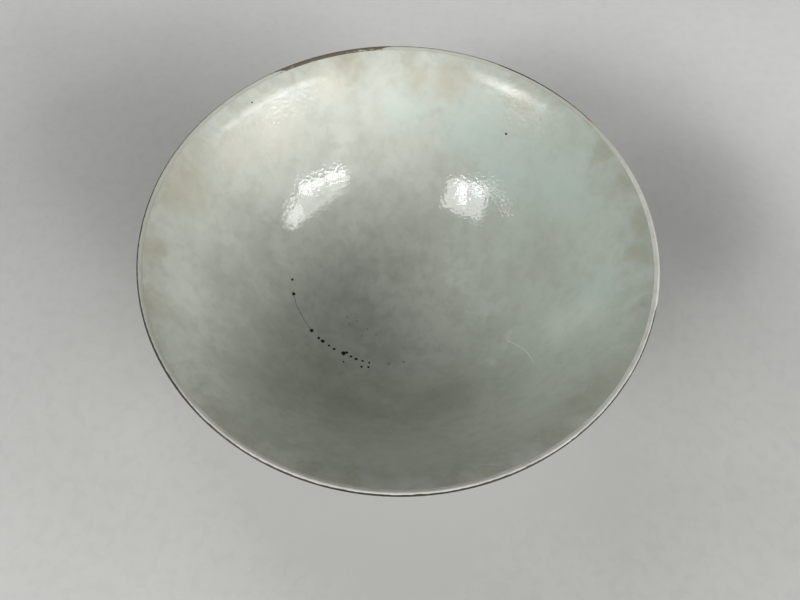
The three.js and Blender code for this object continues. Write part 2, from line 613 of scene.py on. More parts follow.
class Effects:
    """The effects that several finishes share, each a group of nodes that is built once."""

    PEEL_SIZE = 1.7 * MM
    WAVE_SIZE = 8 * MM
    PIT_SPACING = 2.6 * MM
    PIT_RARITY = (0.78, 0.82)
    PIT_EDGE = (0.12, 0.03)
    LINE_CORE = 0.3
    SCRATCH_GAP = 0.35
    SCRATCH_SHIFT = (0.37, 0.11, 0.23)
    SCRATCH_FULL = 0.75
    SMALLEST_GRAIN = 0.35
    GRAIN_CORE = 0.4

    def __init__(self) -> None:
        """Builds every group."""
        where = ("Vector", (0.0, 0.0, 0.0))
        self.cloud = build_group("Clouds in the glaze", {
            "Where": where, "Size": ("Float", 0.03), "Level": ("Float", 0.5), "Softness": ("Float", 0.12),
            "Seed": ("Float", 0.0)}, "Mask", self._cloud)
        self.skin = build_group("Skin of the glaze", {
            "Where": where, "Peel": ("Float", 0.005), "Wave": ("Float", 0.02), "Pits": ("Float", 0.02)},
            "Height", self._skin)
        self.spot = build_group("Spot", {
            "Where": where, "Place": where, "Reach": ("Float", 0.0005), "Core": ("Float", 0.45)},
            "Mask", self._spot)
        self.line = build_group("Fine line", {
            "Where": where, "Start": where, "End": where, "Width": ("Float", 0.0003)}, "Mask", self._line)
        self.scratches = build_group("Scratches", {
            "Where": where, "Size": ("Float", 0.02), "Width": ("Float", 0.004), "Rarity": ("Float", 0.6)},
            "Mask", self._scratches)
        self.grit = build_group("Grit", {
            "Where": where, "Spacing": ("Float", 0.006), "Reach": ("Float", 0.0004),
            "Rarity": ("Float", 0.7)}, "Mask", self._grit)
        self.sector = build_group("Sector of the turn", {
            "Where": where, "Toward": ("Vector", (1.0, 0.0, 0.0)), "Edge": ("Float", 0.5),
            "Core": ("Float", 0.8)}, "Mask", self._sector)
        self.radius = build_group("Distance from the axis", {"Where": where}, "Radius", self._radius)

    @staticmethod
    def _cloud(recipe: Recipe, inputs: Sockets) -> Socket:
        """Fine and coarse layers of bent noise, eased round a level.

        Args:
            recipe: The group's recipe.
            inputs: The group's inputs, by name.

        Returns:
            The mask.
        """
        shift = recipe.node("CombineXYZ", {0: inputs["Seed"], 1: 0.0, 2: inputs["Seed"]}).outputs[0]
        place = recipe.vector("ADD", inputs["Where"], shift)
        lump = recipe.noise(place, inputs["Size"], detail=4, rough=0.55, bend=0.4)
        low = recipe.sum("SUBTRACT", inputs["Level"], inputs["Softness"])
        high = recipe.sum("ADD", inputs["Level"], inputs["Softness"])
        return recipe.ease(lump, low, high)

    @staticmethod
    def _skin(recipe: Recipe, inputs: Sockets) -> Socket:
        """Millimetres of height: a fine peel, slow waves from the throwing, and a few burst pinholes.

        Args:
            recipe: The group's recipe.
            inputs: The group's inputs, by name.

        Returns:
            The height.
        """
        where = inputs["Where"]
        fine = recipe.noise(where, Effects.PEEL_SIZE, detail=1, rough=0.35)
        slow = recipe.noise(where, Effects.WAVE_SIZE, detail=1, rough=0.4)
        peel = recipe.sum("MULTIPLY", fine, inputs["Peel"])
        wave = recipe.sum("MULTIPLY", slow, inputs["Wave"])
        cells = recipe.node("TexVoronoi", {"Vector": where, "Scale": 1 / Effects.PIT_SPACING})
        pick = recipe.node("SeparateXYZ", {0: cells.outputs["Color"]}).outputs[0]
        chosen = recipe.ease(pick, *Effects.PIT_RARITY)
        hole = recipe.sum("MULTIPLY", recipe.ease(cells.outputs["Distance"], *Effects.PIT_EDGE), chosen)
        pits = recipe.sum("MULTIPLY", hole, inputs["Pits"])
        return recipe.sum("SUBTRACT", recipe.sum("ADD", peel, wave), pits)

    @staticmethod
    def _spot(recipe: Recipe, inputs: Sockets) -> Socket:
        """1 within the core's share of the reach from the place, falling to 0 at the reach.

        Args:
            recipe: The group's recipe.
            inputs: The group's inputs, by name.

        Returns:
            The mask.
        """
        distance = recipe.vector("DISTANCE", inputs["Where"], inputs["Place"])
        inner = recipe.sum("MULTIPLY", inputs["Reach"], inputs["Core"])
        return recipe.ease(distance, inputs["Reach"], inner)

    @staticmethod
    def _line(recipe: Recipe, inputs: Sockets) -> Socket:
        """1 on the straight stretch from start to end, falling to 0 at the width from it.

        Args:
            recipe: The group's recipe.
            inputs: The group's inputs, by name.

        Returns:
            The mask.
        """
        along = recipe.vector("SUBTRACT", inputs["End"], inputs["Start"])
        reach = recipe.vector("SUBTRACT", inputs["Where"], inputs["Start"])
        length = recipe.vector("DOT_PRODUCT", along, along)
        share = recipe.sum("DIVIDE", recipe.vector("DOT_PRODUCT", reach, along), length)
        share = recipe.sum("MINIMUM", recipe.sum("MAXIMUM", share, 0.0), 1.0)
        foot = recipe.vector("SCALE", along, scale=share)
        distance = recipe.vector("DISTANCE", reach, foot)
        inner = recipe.sum("MULTIPLY", inputs["Width"], Effects.LINE_CORE)
        return recipe.ease(distance, inputs["Width"], inner)

    @staticmethod
    def _scratches(recipe: Recipe, inputs: Sockets) -> Socket:
        """Thin curved lines: where slow noise crosses its middle, kept only where other noise is high.

        Args:
            recipe: The group's recipe.
            inputs: The group's inputs, by name.

        Returns:
            The mask.
        """
        slow = recipe.noise(inputs["Where"], inputs["Size"], detail=0, bend=0.5)
        off = recipe.sum("ABSOLUTE", recipe.sum("SUBTRACT", slow, MIDDLE_LEVEL))
        line = recipe.ease(off, inputs["Width"], 0.0)
        shifted = recipe.vector("ADD", inputs["Where"], Effects.SCRATCH_SHIFT)
        keep = recipe.noise(shifted, recipe.sum("MULTIPLY", inputs["Size"], Effects.SCRATCH_GAP), detail=1)
        return recipe.sum("MULTIPLY", line, recipe.ease(keep, inputs["Rarity"], Effects.SCRATCH_FULL))

    @staticmethod
    def _grit(recipe: Recipe, inputs: Sockets) -> Socket:
        """Small round grains: near the middles of random cells, in cells whose random number is high.

        Args:
            recipe: The group's recipe.
            inputs: The group's inputs, by name.

        Returns:
            The mask.
        """
        scale = recipe.sum("DIVIDE", 1.0, inputs["Spacing"])
        cells = recipe.node("TexVoronoi", {"Vector": inputs["Where"], "Scale": scale})
        pick = recipe.node("SeparateXYZ", {0: cells.outputs["Color"]})
        size = recipe.sum("DIVIDE", inputs["Reach"], inputs["Spacing"])
        size = recipe.sum("MULTIPLY", size, recipe.between(pick.outputs[1], Effects.SMALLEST_GRAIN, 1.0))
        inner = recipe.sum("MULTIPLY", size, Effects.GRAIN_CORE)
        grain = recipe.ease(cells.outputs["Distance"], size, inner)
        keep = recipe.sum("GREATER_THAN", pick.outputs[0], inputs["Rarity"])
        return recipe.sum("MULTIPLY", grain, keep)

    @staticmethod
    def _sector(recipe: Recipe, inputs: Sockets) -> Socket:
        """1 where the direction from the axis is near the given one, by the cosine between them.

        Args:
            recipe: The group's recipe.
            inputs: The group's inputs, by name.

        Returns:
            The mask.
        """
        flat = recipe.vector("MULTIPLY", inputs["Where"], LEVEL_PART)
        near = recipe.vector("DOT_PRODUCT", recipe.vector("NORMALIZE", flat), inputs["Toward"])
        return recipe.ease(near, inputs["Edge"], inputs["Core"])

    @staticmethod
    def _radius(recipe: Recipe, inputs: Sockets) -> Socket:
        """The length of the place's level part."""
        return recipe.vector("LENGTH", recipe.vector("MULTIPLY", inputs["Where"], LEVEL_PART))


def toward(degrees: float) -> tuple[float, float, float]:
    """A level direction at an angle from +X."""
    return (math.cos(math.radians(degrees)), math.sin(math.radians(degrees)), 0.0)


def cosine(degrees: float) -> float:
    """The cosine of an angle in degrees."""
    return math.cos(math.radians(degrees))


# What a finish is made of


@dataclass(frozen=True)
class Tint:
    """A colour, and how strongly it covers what lies under it."""

    color: tuple
    strength: float


@dataclass(frozen=True)
class Clouds:
    """Soft clouds: their size, the noise level and softness of their edge, their seed and their strength."""

    size: float
    level: float
    softness: float
    seed: float
    strength: float = 1.0


@dataclass(frozen=True)
class Side:
    """A side of the bowl: its direction, the half angles of its edge and its full part, and its strength."""

    middle: float
    edge: float
    core: float
    strength: float = 1.0


@dataclass(frozen=True)
class Fade:
    """A smooth step between two distances, up to a strength."""

    start: float
    end: float
    strength: float = 1.0


@dataclass(frozen=True)
class Grains:
    """Round grains: their spacing, their reach, the share of cells without one, and their strength."""

    spacing: float
    reach: float
    rarity: float
    strength: float


@dataclass(frozen=True)
class Scratches:
    """Fine curved scratches: the size of their bends, their width, their rarity and their strength."""

    size: float
    width: float
    rarity: float
    strength: float


@dataclass(frozen=True)
class Skin:
    """The skin's relief in millimetres: a fine peel, slow waves and burst pinholes."""

    peel: float
    wave: float
    pits: float


@dataclass
class Finish:
    """A material in the making: its recipe, its shader and where a point of the piece is."""

    name: str
    effects: Effects
    recipe: Recipe = field(init=False)
    shader: bpy.types.Node = field(init=False)
    where: Socket = field(init=False)
    material: bpy.types.Material = field(init=False)

    def __post_init__(self) -> None:
        """Adds the material, with its shader and its place coordinates."""
        self.material = bpy.data.materials.new(self.name)
        self.material.use_nodes = True
        self.recipe = Recipe(self.material.node_tree)
        self.shader = self.material.node_tree.nodes["Principled BSDF"]
        self.where = self.recipe.node("TexCoord").outputs["Object"]

    def radius(self) -> Socket:
        """How far a point is from the axis."""
        return self.recipe.use(self.effects.radius, {"Where": self.where})

    def height(self) -> Socket:
        """How far a point is above the table."""
        return self.recipe.node("SeparateXYZ", {0: self.where}).outputs[2]

    def bent(self, size: float, amount: float) -> Socket:
        """The coordinates, pushed about by noise so that outlines drawn in them are ragged.

        Args:
            size: About how wide the noise's lumps are.
            amount: How far it pushes.

        Returns:
            The coordinates.
        """
        recipe = self.recipe
        lump = recipe.node("TexNoise", {"Vector": self.where, "Scale": 1 / size, "Detail": 3}).outputs[1]
        centred = recipe.vector("SUBTRACT", lump, (MIDDLE_LEVEL, MIDDLE_LEVEL, MIDDLE_LEVEL))
        return recipe.vector("ADD", self.where, recipe.vector("SCALE", centred, scale=amount))

    def side(self, kind: Side) -> Socket:
        """A mask round a direction: 0 past the edge angle from it, full within the core angle.

        Args:
            kind: The side.

        Returns:
            The mask, times its strength.
        """
        feeds = {"Where": self.where, "Toward": toward(kind.middle)}
        feeds |= {"Edge": cosine(kind.edge), "Core": cosine(kind.core)}
        return self.times(self.recipe.use(self.effects.sector, feeds), kind.strength)

    def cloud(self, kind: Clouds) -> Socket:
        """A mask of soft clouds.

        Args:
            kind: The clouds.

        Returns:
            The mask, times its strength.
        """
        feeds = {"Where": self.where, "Size": kind.size, "Level": kind.level}
        feeds |= {"Softness": kind.softness, "Seed": kind.seed}
        return self.times(self.recipe.use(self.effects.cloud, feeds), kind.strength)

    def fade(self, distance: Value, kind: Fade) -> Socket:
        """A mask that eases in between two distances."""
        return self.recipe.ease(distance, kind.start, kind.end, 0.0, kind.strength)

    def grains(self, kind: Grains, where: Socket) -> Socket:
        """A mask of round grains, without their strength."""
        feeds = {"Where": where, "Spacing": kind.spacing, "Reach": kind.reach, "Rarity": kind.rarity}
        return self.recipe.use(self.effects.grit, feeds)

    def scratches(self, kind: Scratches) -> Socket:
        """A mask of fine scratches, without their strength."""
        feeds = {"Where": self.where, "Size": kind.size, "Width": kind.width, "Rarity": kind.rarity}
        return self.recipe.use(self.effects.scratches, feeds)

    def skin(self, kind: Skin) -> Socket:
        """The height of the skin, in millimetres."""
        feeds = {"Where": self.where, "Peel": kind.peel, "Wave": kind.wave, "Pits": kind.pits}
        return self.recipe.use(self.effects.skin, feeds)

    def times(self, *masks: Value) -> Socket:
        """The product of masks and numbers.

        Args:
            *masks: A mask, and what it is multiplied by.

        Returns:
            The product.
        """
        result = masks[0]
        for mask in masks[1:]:
            result = self.recipe.sum("MULTIPLY", result, mask)
        return result

    def total(self, *parts: Value) -> Socket:
        """The sum of values.

        Args:
            *parts: A value, and what is added to it.

        Returns:
            The sum.
        """
        result = parts[0]
        for part in parts[1:]:
            result = self.recipe.sum("ADD", result, part)
        return result

    def strongest(self, masks: list[Socket]) -> Socket:
        """The highest of several masks.

        Args:
            masks: The masks.

        Returns:
            The highest at each point.
        """
        result = masks[0]
        for mask in masks[1:]:
            result = self.recipe.sum("MAXIMUM", result, mask)
        return result

    def finish(self, color: Value, roughness: Value, height: Value) -> bpy.types.Material:
        """Joins colour, roughness and height to the shader.

        Args:
            color: The base colour.
            roughness: The roughness.
            height: The height of the surface's relief, in millimetres.

        Returns:
            The material.
        """
        self.recipe.feed(self.shader.inputs["Base Color"], color)
        self.recipe.feed(self.shader.inputs["Roughness"], roughness)
        self.recipe.feed(self.shader.inputs["IOR"], REFRACTION)
        bump = self.recipe.node("Bump", {"Strength": 1.0, "Distance": MM, "Height": height})
        self.recipe.feed(self.shader.inputs["Normal"], bump.outputs[0])
        return self.material


# Marks on the inside


class FloorSpeck(Enum):
    """The iron specks that lie in a broken arc on the floor, and the few strays on the wall."""

    ARC_TOP = Mark(292.2, 279.5, 0.8 * MM)
    ARC_SHOULDER = Mark(293.7, 293.8, 1.15 * MM)
    CRACK_FOOT = Mark(311.7, 330.4, 1.2 * MM)
    AFTER_CRACK = Mark(318.8, 338.1, 0.95 * MM)
    ELBOW = Mark(322.7, 341.1, 1.15 * MM)
    AFTER_ELBOW = Mark(329.0, 345.5, 0.75 * MM)
    BEFORE_LARGEST = Mark(334.0, 348.8, 0.8 * MM)
    LARGEST = Mark(343.6, 353.3, 1.4 * MM)
    LARGEST_TAIL = Mark(346.6, 352.6, 0.9 * MM)
    TAIL_FIRST = Mark(351.0, 356.4, 0.8 * MM)
    TAIL_SECOND = Mark(356.2, 359.1, 1.0 * MM)
    TAIL_THIRD = Mark(362.6, 360.9, 0.8 * MM)
    TAIL_FOURTH = Mark(369.3, 362.7, 0.65 * MM)
    UNDER_TAIL = Mark(361.7, 366.7, 0.75 * MM)
    UNDER_TAIL_END = Mark(368.4, 367.1, 0.75 * MM)
    BELOW_LARGEST = Mark(343.5, 361.8, 0.55 * MM)
    WALL_RIGHT = Mark(506.0, 134.0, 0.75 * MM)
    WALL_LEFT = Mark(252.0, 102.5, 0.5 * MM)
    LIP_FRONT = Mark(513.0, 469.0, 0.7 * MM)


class GreySpeck(Enum):
    """Paler flecks under the glaze."""

    OVAL = Mark(388.9, 363.8, 1.3 * MM)
    OVAL_NEIGHBOUR = Mark(403.7, 361.8, 1.0 * MM)
    CLUSTER_LEFT = Mark(347.0, 317.0, 0.7 * MM)
    CLUSTER_MIDDLE = Mark(357.0, 321.0, 0.7 * MM)
    CLUSTER_LOW = Mark(349.0, 324.0, 0.7 * MM)
    CLUSTER_RIGHT = Mark(367.5, 329.0, 0.7 * MM)
    CLUSTER_FAR = Mark(376.0, 335.0, 0.7 * MM)
    CLUSTER_FOOT = Mark(362.0, 336.0, 0.7 * MM)


class SpeckleField(Enum):
    """Where fine dark grains lie close together."""

    UNDER_ARC = Mark(356, 361, 11 * MM)
    CLUSTER = Mark(358, 326, 11 * MM)
    LEFT_SMUDGE = Mark(288, 344, 8 * MM)
    BESIDE_OVAL = Mark(397, 363, 7 * MM)


class Hairline(Enum):
    """The bends of the stained hairline, in order."""

    FIRST = Mark(293.7, 293.8, 0)
    SECOND = Mark(296.0, 304.0, 0)
    THIRD = Mark(301.0, 314.0, 0)
    FOURTH = Mark(305.0, 321.0, 0)
    FIFTH = Mark(311.7, 330.4, 0)


class PaleScuff(Enum):
    """The bends of a pale scratch on the floor's right side, in order."""

    FIRST = Mark(507.6, 340.5, 0)
    SECOND = Mark(517.0, 345.0, 0)
    THIRD = Mark(526.0, 351.0, 0)
    LAST = Mark(533.5, 361.2, 0)


class TanPatch(Enum):
    """Where the glaze is stained a weak grey tan: on the left wall and in places under the far lip."""

    LEFT_WALL = Mark(182, 182, 24 * MM)
    LEFT_LIP = Mark(147, 244, 12 * MM)
    LEFT_LOW = Mark(147, 305, 14 * MM)
    LEFT_LOWEST = Mark(168, 365, 13 * MM)
    FAR_LIP = Mark(348, 64, 12 * MM)
    FAR_MIDDLE = Mark(414, 80, 12 * MM)
    FAR_RIGHT = Mark(450, 80, 15 * MM)
    FAR_SHOULDER = Mark(525, 98, 14 * MM)


class CreamAndLitPatch(Enum):
    """Where the glaze looks warm, and is also painted lighter as painted light: high on the far wall, left
    of its middle.
    """

    FAR_LEFT = Mark(275, 128, 26 * MM)
    FAR_LEFT_LOW = Mark(238, 150, 18 * MM)
    BESIDE_FAR_LIP = Mark(330, 88, 16 * MM)


class CeladonPatch(Enum):
    """Where the glaze is thick and looks greenish: high on the far wall and on the right."""

    FAR_WALL = Mark(405, 108, 18 * MM)
    FAR_RIGHT_WALL = Mark(471, 132, 26 * MM)
    BEHIND_MIDDLE = Mark(505, 170, 22 * MM)
    RIGHT_WALL = Mark(560, 190, 24 * MM)
    RIGHT_MIDDLE = Mark(600, 290, 18 * MM)


class OliveStain(Enum):
    """Old stains that sit just under the lip."""

    FAR_RIGHT_FIRST = Mark(605, 151, 10 * MM)
    FAR_RIGHT_SECOND = Mark(623, 183, 12 * MM)
    RIGHT_FIRST = Mark(641, 223, 13 * MM)
    RIGHT_SECOND = Mark(638, 252, 11 * MM)
    RIGHT_THIRD = Mark(647, 306, 7 * MM)
    RIGHT_FOURTH = Mark(643, 335, 7 * MM)
    LOW_RIGHT_FIRST = Mark(605, 385, 19 * MM)
    LOW_RIGHT_SECOND = Mark(584, 405, 17 * MM)
    LOW_RIGHT_THIRD = Mark(558, 436, 13 * MM)
    LOW_LEFT_FIRST = Mark(220, 420, 14 * MM)
    LOW_LEFT_SECOND = Mark(245, 438, 11 * MM)
    NEAR_FIRST = Mark(315, 473, 10 * MM)
    NEAR_SECOND = Mark(352, 481, 9 * MM)
    NEAR_THIRD = Mark(453, 484, 9 * MM)
    NEAR_FOURTH = Mark(494, 475, 8 * MM)
    LEFT_DOT = Mark(153, 205, 4 * MM)


class PaleAndLitPatch(Enum):
    """Paler clouds in the glaze and rubbed places; the far band and the near band are painted light."""

    LEFT_BAND = Mark(184, 292, 16 * MM)
    # Painted light: the far band and the near band.
    FAR_BAND = Mark(390, 96, 24 * MM)
    NEAR_BAND = Mark(400, 462, 30 * MM)
    RIGHT_CLOUD = Mark(561, 326, 18 * MM)
    RIGHT_CLOUD_EDGE = Mark(587, 313, 14 * MM)
    RUB_FIRST = Mark(482, 315, 6 * MM)
    RUB_SECOND = Mark(506, 342, 6 * MM)
    RUB_THIRD = Mark(492, 362, 6 * MM)


class GreyAndShadePatch(Enum):
    """Greyer clouds on the floor and the walls; the middle ones and the one low on the left wall are painted
    shade.
    """

    # Painted shade: the patches across the middle of the left and right walls.
    LEFT_MIDDLE = Mark(214, 262, 24 * MM)
    RIGHT_MIDDLE = Mark(545, 258, 34 * MM)
    NEAR_LEFT = Mark(352, 412, 26 * MM)
    NEAR_RIGHT = Mark(436, 405, 24 * MM)
    FLOOR_RIGHT = Mark(462, 385, 10 * MM)
    FLOOR_LEFT = Mark(330, 301, 7 * MM)
    LEFT_WALL = Mark(232, 167, 9 * MM)
    LEFT_FLOOR = Mark(268, 317, 11 * MM)
    # Painted shade: low on the left wall and in the middle of the floor.
    LOW_LEFT_WALL = Mark(258, 382, 28 * MM)
    MIDDLE = Mark(410, 245, 30 * MM)
    FAR_SMUDGE = Mark(432.7, 114, 4 * MM)


@dataclass
class InsideMarks:
    """Draws marks at their places on the inside of the bowl."""

    dress: Finish
    form: BowlForm
    view: Viewpoint

    def places(self, marks: type[Enum]) -> list[tuple[float, float, float]]:
        """Where the marks are on the bowl, in order."""
        return [self.view.on_inside(self.form, entry.value.px, entry.value.py) for entry in marks]

    def spots(self, marks: type[Enum], where: Socket, core: float) -> Socket:
        """A mask of spots.

        Args:
            marks: The spots.
            where: The coordinates, bent so that the spots aren't round.
            core: The share of each spot's reach that is at full strength.

        Returns:
            The mask.
        """
        masks = []
        for entry, place in zip(marks, self.places(marks)):
            feeds = {"Where": where, "Place": place, "Reach": entry.value.reach, "Core": core}
            masks.append(self.dress.recipe.use(self.dress.effects.spot, feeds))
        return self.dress.strongest(masks)

    def stroke(self, bends: type[Enum], where: Socket, width: float) -> Socket:
        """A mask of a line through its bends.

        Args:
            bends: The line's bends, in order.
            where: The coordinates.
            width: Half the line's width.

        Returns:
            The mask.
        """
        places = self.places(bends)
        masks = []
        for start, end in zip(places, places[1:]):
            feeds = {"Where": where, "Start": start, "End": end, "Width": width}
            masks.append(self.dress.recipe.use(self.dress.effects.line, feeds))
        return self.dress.strongest(masks)


# Finishes


@dataclass(frozen=True)
class InsideGlaze:
    """The glaze of the inside: clouded white with a celadon cast, stains, iron specks and wear, and painted
    light and shade on the floor and the walls.
    """

    white: tuple = paint(204, 207, 197)
    shade: tuple = paint(188, 191, 181)
    # A greener, darker tone for the right side: a celadon cast, and painted shade there too.
    deep: tuple = paint(178, 190, 180)
    # Painted light: a lighter tone for the middle of the floor.
    lit_floor: tuple = paint(226, 230, 220)
    iron: tuple = paint(26, 21, 17)
    grey: tuple = paint(100, 100, 90)
    scuff: tuple = paint(222, 226, 219)
    celadon: Tint = Tint(paint(186, 204, 196), 0.5)
    # Grey tint of the grey patches and floor clouds, part of which are painted shade.
    dark: Tint = Tint(paint(156, 155, 143), 0.24)
    # Pale tint of the pale patches, some of which are painted light.
    pale: Tint = Tint(paint(216, 222, 212), 0.4)
    # Warm tint of the cream patches, lighter than the ground as painted light.
    cream: Tint = Tint(paint(218, 216, 202), 0.55)
    tan: Tint = Tint(paint(180, 175, 157), 0.6)
    olive: Tint = Tint(paint(150, 146, 122), 0.5)
    slow_clouds: Clouds = Clouds(34 * MM, 0.52, 0.16, 0.0, 0.5)
    quick_clouds: Clouds = Clouds(11 * MM, 0.55, 0.14, 1.7, 0.5)
    # Grey clouds on the floor, which also darken it overall as painted shade.
    floor_clouds: Clouds = Clouds(16 * MM, 0.53, 0.12, 3.1, 0.22)
    fine_clouds: Clouds = Clouds(5 * MM, 0.55, 0.12, 4.3, 0.2)
    edge_mottle: Clouds = Clouds(9 * MM, 0.54, 0.14, 7.9, 0.3)
    dull_clouds: Clouds = Clouds(7 * MM, 0.5, 0.2, 11.3, 0.05)
    # The right side, painted greener and darker: partly a celadon cast, partly painted shade.
    cool_shaded_side: Side = Side(8, 85, 25, 0.75)
    # Painted light: how far out the floor's middle is painted lighter.
    lit_middle: Fade = Fade(60 * MM, 20 * MM, 0.62)
    floor_edge: Fade = Fade(84 * MM, 66 * MM)
    under_lip: Fade = Fade(84 * MM, 97 * MM)
    dull_edge: Fade = Fade(80 * MM, 90 * MM, 0.1)
    dust: Grains = Grains(7 * MM, 0.3 * MM, 0.72, 0.3)
    speckles: Grains = Grains(1.5 * MM, 0.4 * MM, 0.5, 0.6)
    scratches: Scratches = Scratches(18 * MM, 0.006, 0.55, 0.3)
    skin: Skin = Skin(0.06, 0.05, 0.02)
    speck_bend: float = 0.9 * MM
    patch_bend: float = 8 * MM
    patch_push: float = 17 * MM
    patch_core: float = 0.05
    stain_core: float = 0.0
    speckle_core: float = 0.1
    speck_core: float = 0.6
    fleck_core: float = 0.45
    line_width: float = 0.3 * MM
    rub_strength: float = 0.7
    fleck_strength: float = 0.42
    crack_strength: float = 0.75
    shine: float = 0.5
    speck_shine: float = 0.1
    roughness: float = 0.05
    stain_roughness: float = 0.3
    mark_roughness: float = 0.25
    mark_depth: float = 0.03

    def ground(self, dress: Finish, radius: Socket) -> Socket:
        """The clouded ground of the glaze: cooler on one side, where it is also painted darker as painted
        shade, lighter in the middle as painted light, and grey mottled on the floor, which also darkens it
        as painted shade.

        Args:
            dress: The material in the making.
            radius: The distance from the axis.

        Returns:
            The colour.
        """
        recipe = dress.recipe
        color = recipe.mix(dress.cloud(self.slow_clouds), self.white, self.shade)
        color = recipe.mix(dress.cloud(self.quick_clouds), color, self.shade)
        # Painted shade with a celadon cast on the right side.
        color = recipe.mix(dress.side(self.cool_shaded_side), color, self.deep)
        # Painted light: the middle of the floor painted lighter.
        color = recipe.mix(dress.fade(radius, self.lit_middle), color, self.lit_floor)
        # Grey mottle on the floor, also painted shade.
        floor_mottle_and_shade = dress.times(dress.cloud(self.floor_clouds), dress.fade(radius, self.floor_edge))
        color = recipe.mix(floor_mottle_and_shade, color, self.dark.color)
        return recipe.mix(dress.cloud(self.fine_clouds), color, self.dark.color)

    def material(self, effects: Effects, form: BowlForm, view: Viewpoint) -> bpy.types.Material:
        """Builds the material.

        Args:
            effects: The shared groups.
            form: The bowl's section.
            view: The camera.

        Returns:
            The material.
        """
        dress = Finish("inside_glaze", effects)
        recipe = dress.recipe
        marks = InsideMarks(dress, form, view)
        radius = dress.radius()
        bent = dress.bent(self.speck_bend, self.speck_bend)
        ragged = dress.bent(self.patch_bend, self.patch_push)

        color = self.ground(dress, radius)
        # Tints and patches, some of them painted light and painted shade.
        for patches, tint in (
            (CeladonPatch, self.celadon),
            (GreyAndShadePatch, self.dark),
            (PaleAndLitPatch, self.pale),
            (CreamAndLitPatch, self.cream),
            (TanPatch, self.tan),
        ):
            patch = marks.spots(patches, ragged, self.patch_core)
            color = recipe.mix(dress.times(patch, tint.strength), color, tint.color)
        mottle = dress.times(dress.cloud(self.edge_mottle), dress.fade(radius, self.under_lip))
        old = dress.times(marks.spots(OliveStain, ragged, self.stain_core), self.olive.strength)
        stain = dress.strongest([mottle, old])
        color = recipe.mix(stain, color, self.olive.color)

        scratched = dress.scratches(self.scratches)
        rub = marks.stroke(PaleScuff, bent, self.line_width)
        dust = dress.grains(self.dust, bent)
        speckles = dress.grains(self.speckles, bent)
        speckled = marks.spots(SpeckleField, ragged, self.speckle_core)
        fleck = marks.spots(GreySpeck, bent, self.fleck_core)
        crack = marks.stroke(Hairline, bent, self.line_width)
        speck = marks.spots(FloorSpeck, bent, self.speck_core)
        for share, tone in (
            (dress.times(scratched, self.scratches.strength), self.scuff),
            (dress.times(rub, self.rub_strength), self.scuff),
            (dress.times(dust, self.dust.strength), self.grey),
            (dress.times(speckles, speckled, self.speckles.strength), self.iron),
            (dress.times(fleck, self.fleck_strength), self.grey),
            (dress.times(crack, self.crack_strength), self.iron),
            (speck, self.iron),
        ):
            color = recipe.mix(share, color, tone)
        shine = recipe.between(speck, self.shine, self.speck_shine)
        recipe.feed(dress.shader.inputs["Specular IOR Level"], shine)

        rough = dress.total(
            self.roughness,
            dress.cloud(self.dull_clouds),
            dress.times(stain, self.stain_roughness),
            dress.fade(radius, self.dull_edge),
            dress.times(dress.strongest([speck, crack, scratched]), self.mark_roughness),
        )
        sunk = dress.times(dress.strongest([speck, crack]), self.mark_depth)
        return dress.finish(color, rough, recipe.sum("SUBTRACT", dress.skin(self.skin), sunk))


@dataclass(frozen=True)
class PlainGlaze:
    """The glaze of the outside and the base: greener where it pools, with kiln specks and scratches."""

    name: str
    pool_radius: float
    pool_reach: float
    white: tuple = paint(206, 209, 199)
    shade: tuple = paint(190, 193, 183)
    pooled: Tint = Tint(paint(170, 190, 178), 0.75)
    soil: Tint = Tint(paint(150, 138, 110), 0.5)
    iron: tuple = paint(64, 46, 32)
    slow_clouds: Clouds = Clouds(30 * MM, 0.5, 0.15, 21.0)
    quick_clouds: Clouds = Clouds(9 * MM, 0.56, 0.12, 23.0, 0.4)
    grime_clouds: Clouds = Clouds(4 * MM, 0.48, 0.12, 29.0)
    dull_clouds: Clouds = Clouds(8 * MM, 0.5, 0.2, 31.0, 0.06)
    pool_height: Fade = Fade(16 * MM, 11 * MM)
    grime_height: Fade = Fade(4.4 * MM, 2.4 * MM)
    grit: Grains = Grains(8 * MM, 0.45 * MM, 0.74, 0.7)
    grit_height: float = 0.04
    scratches: Scratches = Scratches(20 * MM, 0.005, 0.56, 0.25)
    skin: Skin = Skin(0.01, 0.03, 0.02)
    roughness: float = 0.15
    mark_roughness: float = 0.3

    def material(self, effects: Effects) -> bpy.types.Material:
        """Builds the material.

        Args:
            effects: The shared groups.

        Returns:
            The material.
        """
        dress = Finish(self.name, effects)
        recipe = dress.recipe
        height = dress.height()
        color = recipe.mix(dress.cloud(self.slow_clouds), self.white, self.shade)
        color = recipe.mix(dress.cloud(self.quick_clouds), color, self.shade)
        off = recipe.sum("ABSOLUTE", recipe.sum("SUBTRACT", dress.radius(), self.pool_radius))
        pool = dress.times(recipe.ease(off, self.pool_reach, 0.0), dress.fade(height, self.pool_height))
        grime = dress.times(dress.fade(height, self.grime_height), dress.cloud(self.grime_clouds))
        grit = dress.grains(self.grit, dress.where)
        scratched = dress.scratches(self.scratches)
        for share, tone in (
            (dress.times(pool, self.pooled.strength), self.pooled.color),
            (dress.times(grime, self.soil.strength), self.soil.color),
            (dress.times(grit, self.grit.strength), self.iron),
            (dress.times(scratched, self.scratches.strength), self.soil.color),
        ):
            color = recipe.mix(share, color, tone)
        worn = dress.times(dress.strongest([grime, scratched]), self.mark_roughness)
        rough = dress.total(self.roughness, dress.cloud(self.dull_clouds), worn)
        relief = dress.total(dress.skin(self.skin), dress.times(grit, self.grit_height))
        return dress.finish(color, rough, relief)


